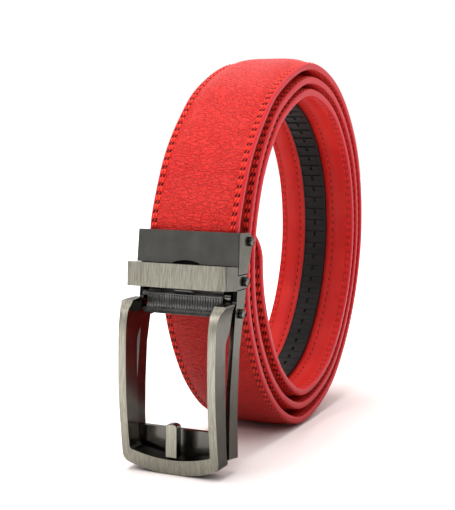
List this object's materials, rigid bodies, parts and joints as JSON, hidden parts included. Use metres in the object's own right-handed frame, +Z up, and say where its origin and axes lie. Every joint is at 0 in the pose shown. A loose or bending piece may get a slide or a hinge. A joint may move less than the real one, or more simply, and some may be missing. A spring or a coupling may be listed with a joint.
{
  "type": "ratchet belt",
  "caption": "Padded leather ratchet belt wound into a loose upright coil, with a clamp plate, keeper bar, ribbed release lever and hinged open front frame with a fixed prong.",
  "frame": {"origin": "on the floor, under the middle of the whole belt's box", "axes": "+X along the coil's axis across the strap, -Y out of the buckle's front, +Z up from the floor"},
  "size_m": [0.0412, 0.1724, 0.153],
  "materials": {
    "leather": "pebbled, semi-matt",
    "track": "moulded, matt",
    "gunmetal": "polished dark nickel",
    "brushed": "brushed pewter faces on dark nickel",
    "lever": "satin black nickel"
  },
  "bodies": {
    "belt": {"strap": "leather", "ratchet_track": "track", "housing": "gunmetal", "clamp_plate": "gunmetal", "clamp_flap": "gunmetal", "keeper_bar": "brushed", "flap_pin": "gunmetal", "frame_pin": "gunmetal", "keeper_rivet_right": "gunmetal", "keeper_rivet_left": "gunmetal", "lever_pin": "gunmetal"},
    "front_frame": {"front_frame": "brushed", "prong": "brushed"},
    "ratchet_lever": {"ratchet_lever": "lever"}
  },
  "joints": [
    {"name": "frame_hinge", "type": "hinge", "parent": "belt", "child": "front_frame", "pos_m": [0, -0.0662, 0.05724], "axis": [-1, 0, 0], "range_deg": [0, 18]},
    {"name": "lever_hinge", "type": "hinge", "parent": "belt", "child": "ratchet_lever", "pos_m": [0, -0.06981, 0.06319], "axis": [-1, 0, 0], "range_deg": [0, 12], "stiffness_Nm_per_rad": 0.02}
  ]
}
